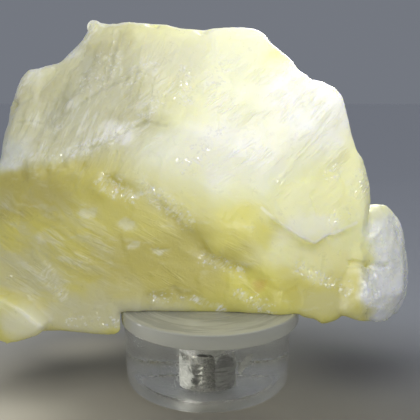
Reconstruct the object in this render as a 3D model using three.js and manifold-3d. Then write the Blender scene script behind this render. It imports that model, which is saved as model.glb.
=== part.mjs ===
// Angel wing calcite specimen: a rough, see-through yellow stone that rests on a small clear stand.
// The stand is a clear disc on a clear round base, with a threaded steel insert in the base.
// Millimetres, +Z up, the viewer's side is -Y, the origin is the middle of the base's underside.

import * as THREE from 'three';
import { ConvexGeometry } from 'three/addons/geometries/ConvexGeometry.js';
import { mergeVertices } from 'three/addons/utils/BufferGeometryUtils.js';
import Module from 'manifold-3d';

const wasm = await Module();
wasm.setup();

// ---- Stand ----
const baseRadius = 16;
const baseFootRadius = 15.6;
const baseHeight = 12.2;
const baseRound = 0.8;
const discRadius = 17;
const discThickness = 2.8;
const discRound = 0.25;
const discShift = 0.5;
const pocketMouthRadius = 4.8;
const pocketRadius = 3.5;
const pocketFloor = 0.6;
const pocketConeFoot = 7;
const insertRadius = 3.1;
const insertHeight = 6.2;
const insertBoreRadius = 1.7;
const insertBoreDepth = 4.3;
const threadDepth = 0.32;
const threadTurns = 7;
const turnedSteps = 64;
const insertSteps = 28;
const seatHeight = baseHeight + discThickness;

// ---- Stone ----
// It is drawn on a plane that leans back: x right, y up the stone, z out of its face.
// The heart is a point well inside it. The underside rises towards the back, by undersideRise degrees.
const stoneLean = THREE.MathUtils.degToRad(79);
const stoneMiddle = new THREE.Vector3(discShift, 0.1, 32.7);
const stoneHeart = new THREE.Vector3(0, 3, -4);
const seatClearance = 0.4;
const seatSteps = 48;
const farAway = 200;
const terraceReach = 40;
const terraceRoot = 2;
const undersideRise = 20;
const undersideFront = -4;
const undersideLow = 10.4;

// How the blank swells from its face and its back to its rim, and how far the rim waves in and out.
const stations = [
  { depth: -23, scale: 0.68, wave: 0 },
  { depth: -2.6, scale: 1, wave: 1.3 },
  { depth: 0.6, scale: 0.994, wave: 0.7 },
  { depth: 13, scale: 0.82, wave: 0 },
];
const waveLength = 17;

// Calcite breaks along planes whose edges meet at this angle. One edge runs down to the right.
const cleavageAngle = 102;
const shallowSlope = -36;

// The stone's rim, clockwise from its left end.
const rim = [
  [-42.3, -9], [-41.8, 0], [-40.6, 6], [-39.2, 9.5], [-38.4, 13], [-37.7, 16.4], [-36.8, 20.4],
  [-35.8, 23.4], [-34, 25.8], [-31.8, 26.6], [-28, 27.8], [-26.5, 29.5], [-24.4, 31.3],
  [-23, 33.2], [-22.4, 35], [-21.4, 35.6], [-20.2, 34.9], [-18, 34.8], [-15, 35.4], [-13.5, 34.8],
  [-9.4, 34.9], [-5.6, 34.3], [-1, 33.9], [0.4, 34.2], [7.6, 34.3], [9.3, 33.6], [10.3, 33],
  [11.2, 31.7], [13.1, 30], [15, 28.2], [16.2, 26.1], [18, 25.2], [18.9, 24.3], [20, 24.5],
  [21.5, 24.1], [23.4, 22.8], [24.7, 21.4], [25.8, 17.7], [26.7, 14], [27.6, 10.8], [28.4, 9.9],
  [29.3, 7.1], [29.9, 3.7], [30.2, 1.3], [29, -6], [28, -14], [24, -20.5], [20.8, -21.3],
  [19.9, -20.2], [16.8, -19.8], [12, -23], [-12, -23.5], [-16.4, -22.6], [-18.7, -23.2],
  [-22.4, -23.2], [-28, -22.8], [-33, -22.6], [-38, -20], [-41.5, -15],
];

// Each break of the stone is a plane through three points.
const faceBreaks = [
  [[-37.5, 6.8, 5], [-10.3, 17.5, 8.5], [-24, 34.6, 1.4]],
  [[-37.5, 6.8, 5], [-22.2, 8.5, 8.7], [-21.8, -22.2, 3]],
  [[-10.3, 17.5, 8.5], [-2, 34.6, 1.7], [24.5, 21.3, 1.2]],
  [[-22.2, 8.5, 8.7], [-10.3, 17.5, 8.5], [0.8, -7.9, 8.5]],
  [[-16.7, 5.3, 9.5], [11.3, -13.9, 6], [0, -18.8, 4.3]],
  [[29.9, 3.7, 1.2], [24.7, 21.4, 1.2], [12, 10, 7]],
  [[-41, 6, 1], [-41, -12, 1], [-33, 0, 5.2]],
];
const backBreaks = [
  [[-30, 31, -2.6], [20, 32, -2.6], [-4, 6, -19]],
  [[-22, 9, -17], [16, 7, -18], [-2, -16, -14]],
  [[-41, 0, -3], [-39, 14, -3], [-22, 6, -16]],
  [[29, 8, -3], [28, -10, -5], [12, 2, -17]],
  [[-20, -12, -14.5], [15, -13, -14], [0, -20, -8]],
  [[-36, 24, -2.6], [-28, 30, -2.6], [-20, 14, -14]],
  [[26, 18, -2.6], [14, 31, -2.6], [8, 12, -15]],
  [[-42, -14, -2], [-30, -22, -3], [-24, -10, -13]],
];

// A terrace is a stretch of the surface, inside an outline, that broke away down to a floor plane.
const faceTerraces = [
  {
    // Below the overhanging plate with its V-shaped lip.
    outline: [
      [9, 0], [11.3, -2.1], [15.7, -4.9], [18.6, -6.3], [20.2, -5.3], [23.7, -4], [26.8, -2.7],
      [31, -1], [40, -5], [40, -40], [1, -40], [1, -12],
    ],
    floor: [[9, 0, 8.3], [18.6, -6.3, 4.6], [20, -15, 3.2]],
  },
  {
    // Below the ledge that runs down to the right across the middle.
    outline: [
      [-16.7, 5.3], [-10.4, 3.2], [-7.7, 0.9], [-4.3, -2.5], [0.8, -7.9], [5.1, -10.2], [11, -13.6],
      [10, -40], [-40, -40], [-24, -8],
    ],
    floor: [[-16.7, 5.3, 8.3], [0.8, -7.9, 6.1], [-20, -16, 3.6]],
  },
  {
    // Above the ridge at the left, where thin blades broke away.
    outline: [[-32, 12], [-21, 14.2], [-16.5, 21], [-17.5, 30], [-25, 30], [-31, 24]],
    floor: [[-32, 12, 4.6], [-18, 16, 7.3], [-22, 30, 2.1]],
  },
  {
    // The lowest ledge, just above the seat.
    outline: [[-12, -15.2], [-5, -14.6], [2, -16.5], [6, -18], [9, -26], [-14, -26]],
    floor: [[-12, -15.2, 3.6], [5, -16.4, 3.9], [-2, -19.5, 2.9]],
  },
];
const backTerraces = [
  {
    outline: [[-24, 30], [-6, 31], [-12, 12], [-16, -2], [-40, -6], [-44, 10]],
    floor: [[-24, 26, -4.5], [-10, 14, -12.5], [-28, 0, -10.5]],
  },
  {
    outline: [[2, 22], [22, 18], [34, 4], [30, -12], [14, -8], [8, 6]],
    floor: [[4, 20, -9.5], [24, 12, -5.5], [20, -8, -11]],
  },
  {
    outline: [[-14, -4], [10, -6], [20, -16], [16, -30], [-20, -30], [-22, -12]],
    floor: [[-14, -5, -14], [12, -8, -15], [0, -20, -8.5]],
  },
];

// Where the stone is made of thin blades, their edges show as narrow strips, each a step below the last.
const bladeFields = [
  { from: [-32, 13], to: [-15.5, 24.5], count: 13, length: 13, drop: 0.5, isSteep: true },
  { from: [-19, 27], to: [-4, 29], count: 6, length: 8, drop: 0.35, isSteep: true },
  { from: [-29, 4], to: [-37, -13], count: 10, length: 15, drop: 0.32, isSteep: false },
  { from: [-17, 1], to: [-22, -12], count: 7, length: 12, drop: 0.25, isSteep: false },
];

// Small notches follow the ledges and the ridge: how many, how large, and how far each stands out.
const faceNotches = [
  { path: [[-16.7, 5.3], [-7.7, 0.9], [0.8, -7.9], [11, -13.6]], count: 30, size: 1.4, lift: 0.1 },
  { path: [[-14, 3], [-6, -3], [2, -11]], count: 12, size: 1.2, lift: 0.3 },
  { path: [[9, 0], [18.6, -6.3], [26.8, -2.7]], count: 12, size: 1, lift: 0.25 },
  { path: [[-37, 7], [-22.2, 8.5], [-13.7, 15], [-10.3, 17.5]], count: 20, size: 1.3, lift: 0.1 },
  { path: [[16, -9.6], [20, -11.5], [25.5, -14.5]], count: 12, size: 1.3, lift: 0.1 },
  { path: [[-12, -15.2], [-2, -15.6], [6, -17.5]], count: 10, size: 1.1, lift: 0.1 },
];
const backNotches = [
  { path: [[-12, 27], [-13, 12], [-17, -3], [-36, -6]], count: 16, size: 2.4, lift: 0.3 },
  { path: [[4, 22], [8, 6], [14, -8], [28, -11]], count: 14, size: 2.2, lift: 0.3 },
  { path: [[-20, -9], [-6, -5], [10, -7]], count: 12, size: 2, lift: 0.3 },
];
const rimNotches = { count: 36, size: 2.2, behind: -3.6, before: 2 };

// The grey lobe at the lower right and the pale flake at the lower left.
const lobePoints = [
  [31.8, 1.2, -3], [34, 1.4, -4], [35.2, 0.4, -4], [37.1, -2.7, -4], [38, -8, -4],
  [38.3, -12, -4], [37.7, -16.8, -4], [36, -19.6, -3], [33, -20.9, -1], [28, -20.8, 1],
  [33.5, -2, -0.5], [35.5, -8, 0], [35.5, -15, 0.5], [31, -4, 1.2], [30, -16, 2.5], [26, -8, 2.6],
  [24, -19, 2.2], [33, 0, -12], [36, -6, -13], [36, -14, -12], [32, -19, -11], [20, 0, -14],
  [20, -18, -9],
];
const flakePoints = [
  [-39, -15.5, 4.6], [-37.1, -15.9, 5.6], [-34.5, -17, 6], [-32.7, -18.2, 6], [-31.3, -19.8, 5.5],
  [-30, -20.8, 5], [-30.3, -21.6, 3.5], [-31.5, -23, 3], [-35.1, -23.9, 3], [-37.8, -25, 2.6],
  [-41.4, -24.4, 0.5], [-42.6, -18.5, 2], [-42, -13, -6], [-30, -14, -7], [-27, -19, -6],
  [-33, -22.5, -4], [-39.5, -22.5, -5],
];

function toSolid(geometry) {
  const bare = geometry.index ? geometry.toNonIndexed() : geometry.clone();
  bare.deleteAttribute('normal');
  bare.deleteAttribute('uv');
  const merged = mergeVertices(bare, 1e-4);
  const vertProperties = new Float32Array(merged.attributes.position.array);
  const triVerts = new Uint32Array(merged.index.array);
  return new wasm.Manifold(new wasm.Mesh({ numProp: 3, vertProperties, triVerts }));
}

function toGeometry(solid) {
  const mesh = solid.getMesh();
  const geometry = new THREE.BufferGeometry();
  geometry.setAttribute('position', new THREE.BufferAttribute(new Float32Array(mesh.vertProperties), 3));
  geometry.setIndex(new THREE.BufferAttribute(new Uint32Array(mesh.triVerts), 1));
  geometry.computeVertexNormals();
  return geometry;
}

function toPoints(list) {
  return list.map(([x, y, z]) => new THREE.Vector3(x, y, z));
}

// A large block whose one face lies on the plane through three points, on the side away from the heart.
function beyondPlane(corners) {
  const plane = new THREE.Plane().setFromCoplanarPoints(...toPoints(corners));
  if (plane.distanceToPoint(stoneHeart) > 0) plane.negate();
  const block = new THREE.BoxGeometry(farAway, farAway, farAway);
  block.translate(0, 0, farAway / 2);
  block.applyQuaternion(new THREE.Quaternion().setFromUnitVectors(new THREE.Vector3(0, 0, 1), plane.normal));
  const onPlane = plane.coplanarPoint(new THREE.Vector3());
  block.translate(onPlane.x, onPlane.y, onPlane.z);
  return toSolid(block);
}

function outlineShape(points) {
  return new THREE.Shape(points.map(([x, y]) => new THREE.Vector2(x, y)));
}

// The blank: the rim's outline swept through the stations.
function stoneBlank() {
  const levels = stations.length - 1;
  const blank = new THREE.ExtrudeGeometry(outlineShape(rim), {
    depth: levels,
    steps: levels,
    bevelEnabled: false,
  });
  const position = blank.attributes.position;
  for (let i = 0; i < position.count; i += 1) {
    const { depth, scale, wave } = stations[Math.round(position.getZ(i))];
    const x = position.getX(i);
    const y = position.getY(i);
    const swing = Math.sin((x - y) * 2 * Math.PI / waveLength) * wave;
    position.setXYZ(i, x * scale, y * scale, depth + swing);
  }
  return toSolid(blank);
}

function direction(degrees) {
  const angle = THREE.MathUtils.degToRad(degrees);
  return new THREE.Vector3(Math.cos(angle), Math.sin(angle), 0);
}

// The third cleavage edge leaves the face and keeps the same angle to the other two.
const shallowEdge = direction(shallowSlope);
const steepEdge = direction(shallowSlope + cleavageAngle);
const edgeCosine = Math.cos(THREE.MathUtils.degToRad(cleavageAngle));
const inPlane = shallowEdge.clone().add(steepEdge).multiplyScalar(edgeCosine / (1 + edgeCosine));
const outEdge = inPlane.clone().setZ(Math.sqrt(1 - inPlane.lengthSq()));

// A block with calcite's skewed corners, as it leaves the stone when it breaks out.
function cleavageBlock(centre, alongShallow, alongSteep, through) {
  const block = new THREE.BoxGeometry(alongShallow, alongSteep, through);
  const skew = new THREE.Matrix4().makeBasis(shallowEdge, steepEdge, outEdge).setPosition(centre);
  block.applyMatrix4(skew);
  return toSolid(block);
}

// How far a plane stands out at a point.
function planeDepth(corners, x, y) {
  const { normal, constant } = new THREE.Plane().setFromCoplanarPoints(...toPoints(corners));
  return -(normal.x * x + normal.y * y + constant) / normal.z;
}

// Whether a point lies inside an outline, by counting the edges to its right.
function isInside(outline, x, y) {
  let inside = false;
  outline.forEach(([ax, ay], i) => {
    const [bx, by] = outline[(i + 1) % outline.length];
    const crosses = ay > y !== by > y;
    if (crosses && x < ax + ((y - ay) / (by - ay)) * (bx - ax)) inside = !inside;
  });
  return inside;
}

// The break or the terrace floor that the face or the back follows at a point.
function planeOnSide({ breaks, terraces, outward }, x, y) {
  const floors = terraces.filter(({ outline }) => isInside(outline, x, y)).map(({ floor }) => floor);
  const depth = (corners) => planeDepth(corners, x, y) * outward;
  return [...breaks, ...floors].reduce((lowest, next) => (depth(next) < depth(lowest) ? next : lowest));
}

function pointOnSide(side, x, y, lift) {
  return new THREE.Vector3(x, y, planeDepth(planeOnSide(side, x, y), x, y) + lift * side.outward);
}

const face = { breaks: faceBreaks, terraces: faceTerraces, outward: 1 };
const back = { breaks: backBreaks, terraces: backTerraces, outward: -1 };

// An even spread about zero that is the same in every build.
let seed = 7;
function scatter(spread) {
  seed += 1;
  return THREE.MathUtils.seededRandom(seed) * 2 * spread - spread;
}

// Strips side by side across the face, as terraces whose floors tilt up to the next strip.
function bladeStrips({ from, to, count, length, drop, isSteep }) {
  const lengthwise = isSteep ? steepEdge : shallowEdge;
  const start = new THREE.Vector3(...from, 0);
  const stride = new THREE.Vector3(...to, 0).sub(start).divideScalar(count);
  const strips = [];
  for (let i = 0; i < count; i += 1) {
    const near = start.clone().addScaledVector(stride, i + scatter(0.2));
    near.addScaledVector(lengthwise, scatter(2));
    const far = near.clone().addScaledVector(stride, 1);
    const half = (length / 2) * (1 + scatter(0.35));
    const corners = [
      near.clone().addScaledVector(lengthwise, -half),
      near.clone().addScaledVector(lengthwise, half),
      far.clone().addScaledVector(lengthwise, half * 0.8),
      far.clone().addScaledVector(lengthwise, -half * 0.8),
    ];
    const middle = near.clone().add(far).divideScalar(2);
    const surface = planeOnSide(face, middle.x, middle.y);
    const floor = [[corners[0], drop * 0.5], [corners[1], drop], [far, 0.04]].map(
      ([{ x, y }, sunk]) => [x, y, planeDepth(surface, x, y) - sunk],
    );
    strips.push({ outline: corners.map(({ x, y }) => [x, y]), floor });
  }
  return strips;
}

function notchBlock(centre, size) {
  return cleavageBlock(centre, size * (1.3 + scatter(0.5)), size * (0.9 + scatter(0.3)), size);
}

function notchesAlong(side, { path, count, size, lift }) {
  const curve = new THREE.CatmullRomCurve3(path.map(([x, y]) => new THREE.Vector3(x, y, 0)));
  const cuts = [];
  for (let i = 0; i < count; i += 1) {
    const spot = curve.getPointAt((i + 0.5) / count);
    const big = size * (1 + scatter(0.5));
    cuts.push(notchBlock(pointOnSide(side, spot.x + scatter(0.9), spot.y + scatter(0.9), big * lift), big));
  }
  return cuts;
}

// Chips out of the two corners of the rim, over the top from its left end to the lobe.
function notchesOnRim({ count, size, behind, before }) {
  const overTop = rim.slice(1, rim.findIndex(([x]) => x > 29));
  const curve = new THREE.CatmullRomCurve3(overTop.map(([x, y]) => new THREE.Vector3(x, y, 0)));
  const cuts = [];
  for (let i = 0; i < count; i += 1) {
    const spot = curve.getPointAt((i + scatter(0.4) + 0.5) / count);
    spot.z = (i % 3 === 0 ? before : behind) + scatter(0.4);
    cuts.push(notchBlock(spot, size * (1 + scatter(0.4))));
  }
  return cuts;
}

function terraceCut({ outline, floor }, outward) {
  const shape = outlineShape(outline);
  const prism = new THREE.ExtrudeGeometry(shape, { depth: terraceReach, bevelEnabled: false });
  prism.translate(0, 0, outward > 0 ? -terraceRoot : terraceRoot - terraceReach);
  return toSolid(prism).intersect(beyondPlane(floor));
}

// The room for the disc: its top is the flat that the stone rests on.
function seatCut() {
  const radius = discRadius + seatClearance;
  const seat = new THREE.CylinderGeometry(radius, radius, seatHeight * 2, seatSteps);
  seat.rotateX(Math.PI / 2);
  seat.translate(discShift, 0, 0);
  return toSolid(seat);
}

// What lies below the underside, so that only the front of the stone hangs past the disc.
function undersideCut() {
  const slope = new THREE.BoxGeometry(farAway, farAway, farAway);
  slope.translate(0, 0, -farAway / 2);
  slope.rotateX(THREE.MathUtils.degToRad(undersideRise));
  slope.translate(0, undersideFront, undersideLow);
  return toSolid(slope);
}

function buildStone() {
  const lobe = toSolid(new ConvexGeometry(toPoints(lobePoints)));
  const flake = toSolid(new ConvexGeometry(toPoints(flakePoints)));
  const strips = bladeFields.flatMap(bladeStrips);
  const cuts = [
    ...[...faceBreaks, ...backBreaks].map(beyondPlane),
    ...[...faceTerraces, ...strips].map((terrace) => terraceCut(terrace, face.outward)),
    ...backTerraces.map((terrace) => terraceCut(terrace, back.outward)),
    ...faceNotches.flatMap((run) => notchesAlong(face, run)),
    ...backNotches.flatMap((run) => notchesAlong(back, run)),
    ...notchesOnRim(rimNotches),
  ];
  const body = cuts.reduce((stone, cut) => stone.subtract(cut), stoneBlank());
  const whole = toGeometry(body.add(lobe).add(flake));
  whole.rotateX(stoneLean);
  whole.translate(stoneMiddle.x, stoneMiddle.y, stoneMiddle.z);
  return toGeometry(toSolid(whole).subtract(undersideCut()).subtract(seatCut()));
}

function turned(profile, steps) {
  const geometry = new THREE.LatheGeometry(profile.map(([r, z]) => new THREE.Vector2(r, z)), steps);
  geometry.rotateX(Math.PI / 2);
  return toGeometry(toSolid(geometry));
}

function discGeometry() {
  return turned([
    [0, 0],
    [discRadius - discRound, 0],
    [discRadius, discRound],
    [discRadius, discThickness - discRound],
    [discRadius - discRound, discThickness],
    [0, discThickness],
  ], turnedSteps);
}

function baseGeometry() {
  return turned([
    [0, 0],
    [baseFootRadius - baseRound, 0],
    [baseFootRadius, baseRound * 0.6],
    [baseRadius, baseHeight * 0.4],
    [baseRadius, baseHeight],
    [pocketMouthRadius, baseHeight],
    [pocketRadius, pocketConeFoot],
    [pocketRadius, pocketFloor],
    [0, pocketFloor],
  ], turnedSteps);
}

function insertGeometry() {
  const pitch = insertHeight / threadTurns;
  const profile = [[0, 0]];
  for (let turn = 0; turn < threadTurns; turn += 1) {
    profile.push([insertRadius - threadDepth, turn * pitch]);
    profile.push([insertRadius, (turn + 0.5) * pitch]);
  }
  profile.push([insertRadius - threadDepth, insertHeight]);
  profile.push([insertBoreRadius, insertHeight]);
  profile.push([insertBoreRadius, insertHeight - insertBoreDepth]);
  profile.push([0, insertHeight - insertBoreDepth]);
  return turned(profile, insertSteps);
}

function piece(name, geometry, look, place) {
  const mesh = new THREE.Mesh(geometry, new THREE.MeshStandardMaterial(look));
  mesh.name = name;
  mesh.position.set(...place);
  return mesh;
}

const calciteLook = { color: 0xe6dfa4, roughness: 0.42, metalness: 0 };
const acrylicLook = { color: 0xdfe3e4, roughness: 0.06, metalness: 0, transparent: true, opacity: 0.4 };
const steelLook = { color: 0xb9bcbe, roughness: 0.3, metalness: 1 };

const specimen = new THREE.Group();
specimen.add(piece('calcite', buildStone(), calciteLook, [0, 0, 0]));
specimen.add(piece('stand_disc', discGeometry(), acrylicLook, [discShift, 0, baseHeight]));
specimen.add(piece('stand_base', baseGeometry(), { ...acrylicLook }, [0, 0, 0]));
specimen.add(piece('threaded_insert', insertGeometry(), steelLook, [0, 0, pocketFloor]));

export default specimen;
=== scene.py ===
import math

import bmesh
import bpy
from mathutils.noise import noise as noiseAt
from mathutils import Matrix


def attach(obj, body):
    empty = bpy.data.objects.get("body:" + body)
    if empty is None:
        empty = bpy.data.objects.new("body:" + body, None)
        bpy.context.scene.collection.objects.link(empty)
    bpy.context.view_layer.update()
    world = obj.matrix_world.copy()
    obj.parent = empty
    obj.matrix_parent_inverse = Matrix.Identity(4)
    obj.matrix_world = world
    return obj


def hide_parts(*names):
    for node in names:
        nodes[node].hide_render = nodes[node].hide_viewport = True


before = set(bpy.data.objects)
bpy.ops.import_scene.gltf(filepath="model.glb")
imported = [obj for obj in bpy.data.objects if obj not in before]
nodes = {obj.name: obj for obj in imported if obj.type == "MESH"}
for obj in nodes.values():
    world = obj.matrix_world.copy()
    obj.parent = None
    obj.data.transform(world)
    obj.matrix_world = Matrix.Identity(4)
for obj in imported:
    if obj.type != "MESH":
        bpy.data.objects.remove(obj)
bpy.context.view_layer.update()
mm = 0.001
print("frame loaded:", ", ".join(sorted(nodes)))


def isSocket(value):
    return isinstance(value, bpy.types.NodeSocket)


def plug(node, values):
    # a socket is linked to the node's input, and a plain value is set on it
    for key, value in values.items():
        if isSocket(value):
            node.id_data.links.new(value, node.inputs[key])
        else:
            node.inputs[key].default_value = value


def put(tree, kind, values=None, **settings):
    node = tree.nodes.new(kind)
    for name, value in settings.items():
        setattr(node, name, value)
    plug(node, values or {})
    return node


def fed(kind, values, **settings):
    # a node in the tree that its inputs come from
    tree = next(value.id_data for value in values.values() if isSocket(value))
    return put(tree, kind, values, **settings)


def calc(operation, *values, clamp=False):
    return fed("ShaderNodeMath", dict(enumerate(values)), operation=operation, use_clamp=clamp).outputs[0]


def chained(operation):
    # one operation over two or more values
    def run(first, *rest):
        for value in rest:
            first = calc(operation, first, value)
        return first
    return run


times, plus, larger = chained("MULTIPLY"), chained("ADD"), chained("MAXIMUM")


def minus(value, less, clamp=False):
    return calc("SUBTRACT", value, less, clamp=clamp)


def vector(operation, *values):
    node = fed("ShaderNodeVectorMath", dict(enumerate(values)), operation=operation)
    return node.outputs["Value" if operation in {"DOT_PRODUCT", "LENGTH", "DISTANCE"} else "Vector"]


def scaled(point, amount):
    return fed("ShaderNodeVectorMath", {0: point, "Scale": amount}, operation="SCALE").outputs["Vector"]


def parts(point):
    return fed("ShaderNodeSeparateXYZ", {0: point}).outputs


def joined(*values):
    return fed("ShaderNodeCombineXYZ", dict(enumerate(values))).outputs[0]


def ramp(value, low, high, to=(0.0, 1.0)):
    inputs = {"Value": value, "From Min": low, "From Max": high, "To Min": to[0], "To Max": to[1]}
    return fed("ShaderNodeMapRange", inputs, interpolation_type="SMOOTHSTEP").outputs[0]


def inverse(size):
    return calc("DIVIDE", 1.0, size) if isSocket(size) else 1 / size


def noise(point, size, detail=3.0, roughness=0.5, distortion=0.0):
    inputs = {"Vector": point, "Scale": inverse(size), "Detail": detail,
              "Roughness": roughness, "Distortion": distortion}
    return fed("ShaderNodeTexNoise", inputs).outputs[0]


def cells(point, size, **inputs):
    return fed("ShaderNodeTexVoronoi", {"Vector": point, "Scale": inverse(size), **inputs}).outputs


def blend(amount, low, high):
    low, high = (colour if isSocket(colour) else (*colour, 1) for colour in (low, high))
    return fed("ShaderNodeMix", {"Factor": amount, 6: low, 7: high}, data_type="RGBA").outputs[2]


def patch(point, centre, radii, soft=0.6):
    # 1 inside an oval, fading to 0 over its outer part
    reach = vector("LENGTH", vector("DIVIDE", vector("SUBTRACT", point, centre), radii))
    return ramp(reach, 1.0 - soft, 1.0, (1.0, 0.0))


def bumped(height, strength):
    return fed("ShaderNodeBump", {"Height": height, "Distance": mm, "Strength": strength}).outputs[0]


def placeInMm(tree):
    return scaled(put(tree, "ShaderNodeTexCoord").outputs["Object"], 1 / mm)


def newMaterial(name):
    material = bpy.data.materials.new(name)
    material.use_nodes = True
    tree = material.node_tree
    return material, tree, tree.nodes["Principled BSDF"]


def groupTree(name, kind, inputs, outputs):
    tree = bpy.data.node_groups.new(name, kind)
    for label, socketKind, value in inputs:
        socket = tree.interface.new_socket(label, in_out="INPUT", socket_type="NodeSocket" + socketKind)
        if value is not None:
            socket.default_value = value
    for label, socketKind in outputs:
        tree.interface.new_socket(label, in_out="OUTPUT", socket_type="NodeSocket" + socketKind)
    return tree, tree.nodes.new("NodeGroupInput").outputs, tree.nodes.new("NodeGroupOutput")


def smoothed(mesh, sharp):
    # smooth shading, with edges past the angle in degrees kept crisp
    mesh.shade_smooth()
    mesh.set_sharp_from_angle(angle=math.radians(sharp))
    return mesh


def finished(work, name, sharp):
    mesh = bpy.data.meshes.new(name)
    bmesh.ops.recalc_face_normals(work, faces=work.faces)
    work.to_mesh(mesh)
    work.free()
    return smoothed(mesh, sharp)


def metres(values):
    return [n * mm for n in values]


def added(name, data):
    thing = bpy.data.objects.new(name, data)
    bpy.context.collection.objects.link(thing)
    return thing


# the camera stands a little above the stand's top and looks down on it
view = {
    "place": (0.5, -109.8, 54.1),  # mm
    "lookDown": 11.0,  # degrees
    "sensor": 36.0,
    "lens": 51.43,
    "clip": (0.005, 50),  # m
}


def addCamera():
    data = bpy.data.cameras.new("camera")
    data.sensor_width = view["sensor"]
    data.lens = view["lens"]
    data.clip_start, data.clip_end = view["clip"]
    camera = added("camera", data)
    camera.location = metres(view["place"])
    camera.rotation_euler = (math.radians(90 - view["lookDown"]), 0, 0)
    bpy.context.scene.camera = camera


# what each lamp lights
lit = {name: bpy.data.collections.new("lit_" + name) for name in ("stone", "stand", "object", "floor")}
lampTint = (1.0, 0.99, 0.95)
# place and aim in mm, size in mm, power in W
lamps = {
    "glow": dict(place=(38, 58, 96), aim=(18, 0, 52), size=45, power=0.074, lights="stone"),
    "key": dict(place=(60, -60, 140), aim=(8, 0, 40), size=56, power=0.052, lights="stone"),
    "left": dict(place=(-90, -100, 100), aim=(-15, 0, 25), size=30, power=0.018, lights="object"),
    "low": dict(place=(20, -150, 30), aim=(5, 0, 22), size=40, power=0.060, lights="stone"),
    "spark": dict(place=(-15, -80, 160), aim=(0, 0, 35), size=20, power=0.036, lights="object"),
    "sideLeft": dict(place=(-95, 5, 10), aim=(0, 0, 6), size=34, power=0.045, lights="stand"),
    "sideRight": dict(place=(90, 10, 12), aim=(0, 0, 6), size=26, power=0.004, lights="stand"),
    "overhead": dict(place=(-60, 10, 145), aim=(-10, 0, 0), size=50, power=0.030, lights="floor"),
    "floorLeft": dict(place=(-62, -34, 64), aim=(-60, -33, 0), size=56, power=0.027, lights="floor"),
}


def addLamp(name, place, aim, size, power, lights):
    data = bpy.data.lights.new(name, "AREA")
    data.shape = "DISK"
    data.size = size * mm
    data.energy = power
    data.color = lampTint
    lamp = added(name, data)
    lamp.location = metres(place)
    away = lamp.location - type(lamp.location)(metres(aim))
    lamp.rotation_euler = away.to_track_quat("Z", "Y").to_euler()
    lamp.visible_camera = False
    lamp.light_linking.receiver_collection = lit[lights]


room = {
    "air": (0.175, 0.189, 0.219),  # seen behind the object
    "fill": (0.30, 0.31, 0.34),  # soft light from all round
    "frontShade": 0.15,  # how bright the dark side of the room mirrors
    "shadeTurn": (-0.9, 0.2),  # from the side behind the camera to the other
    "size": 6.0,  # m, of the floor
    "low": -0.05,  # mm, so that air lies under the stand
    # the floor is painted darker in front of the stand, as painted shade, and paler further off
    "front": (0.30, 0.28, 0.225),  # the floor near the camera
    "back": (0.585, 0.61, 0.66),  # and further off
    "warm": (-0.02, -0.06),  # m, the middle of the warmer stretch of floor
    "change": (0.05, 0.13),  # m from there, where one turns into the other
    # the colours of the painted shadow and the painted light laid on the floor
    "paintedShadow": (0.08, 0.08, 0.09),
    "paintedLight": (0.74, 0.70, 0.57),
    # painted shadow and painted light on the floor, softly darker and paler places: middle, reach in mm, how
    # strong, which colour
    "spots": [
        (29, 3, 20, 15, 0.54, "paintedShadow"), (0, -19, 16, 8, 0.25, "paintedShadow"),
        (-38, -18, 22, 14, 0.62, "paintedLight"), (-24, 12, 16, 10, 0.62, "paintedLight"),
    ],
    "mottle": (0.5, 0.5, 0.48),
    "mottleSize": 0.012,  # m
    "mottled": 0.12,
    "rough": 0.6,
    "gloss": 0.3,
}


def floorMaterial():
    material, tree, shader = newMaterial("floor")
    place = put(tree, "ShaderNodeTexCoord").outputs["Object"]
    away = vector("DISTANCE", vector("MULTIPLY", place, (1, 1, 0)), (*room["warm"], 0))
    # painted shade: darker in front of the stand, paler further off
    colour = blend(ramp(away, *room["change"]), room["front"], room["back"])
    # painted shadow and painted light laid on the floor at the spots
    for across, deep, wide, far, amount, name in room["spots"]:
        spot = patch(place, (across * mm, deep * mm, 0), (wide * mm, far * mm, 1), 1.0)
        colour = blend(times(spot, amount), colour, room[name])
    mottle = times(noise(place, room["mottleSize"], 4.0), room["mottled"])
    plug(shader, {
        "Base Color": blend(mottle, colour, room["mottle"]),
        "Roughness": room["rough"],
        "Specular IOR Level": room["gloss"],
    })
    return material


def addFloor():
    mesh = bpy.data.meshes.new("floor")
    half, low = room["size"] / 2, room["low"] * mm
    corners = [(-half, -half, low), (half, -half, low), (half, half, low), (-half, half, low)]
    mesh.from_pydata(corners, [], [(0, 1, 2, 3)])
    mesh.materials.append(floorMaterial())
    floor = added("floor", mesh)
    lit["floor"].objects.link(floor)


def addAir():
    world = bpy.data.worlds.new("air")
    world.use_nodes = True
    tree = world.node_tree
    tree.nodes.clear()

    def shown(colour, strength=1.0):
        return put(tree, "ShaderNodeBackground", {"Color": (*colour, 1), "Strength": strength}).outputs[0]

    def mixed(amount, low, high):
        return put(tree, "ShaderNodeMixShader", {0: amount, 1: low, 2: high}).outputs[0]

    ray = put(tree, "ShaderNodeLightPath").outputs
    towards = parts(put(tree, "ShaderNodeTexCoord").outputs["Generated"])
    shade = ramp(towards[1], *room["shadeTurn"], (room["frontShade"], 1.0))
    seen = mixed(ray["Is Glossy Ray"], shown(room["air"]), shown(room["air"], shade))
    surface = mixed(ray["Is Diffuse Ray"], seen, shown(room["fill"]))
    put(tree, "ShaderNodeOutputWorld", {"Surface": surface}).is_active_output = True
    bpy.context.scene.world = world
    bpy.context.scene.view_settings.view_transform = "Standard"


def newPiece(name, mesh, node, slot, material, *lights):
    piece = added(name, mesh)
    mesh.materials.clear()
    mesh.materials.append(material)
    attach(piece, "root")
    if node:
        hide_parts(node)
    for group in lights:
        lit[group].objects.link(piece)
    return piece


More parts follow.
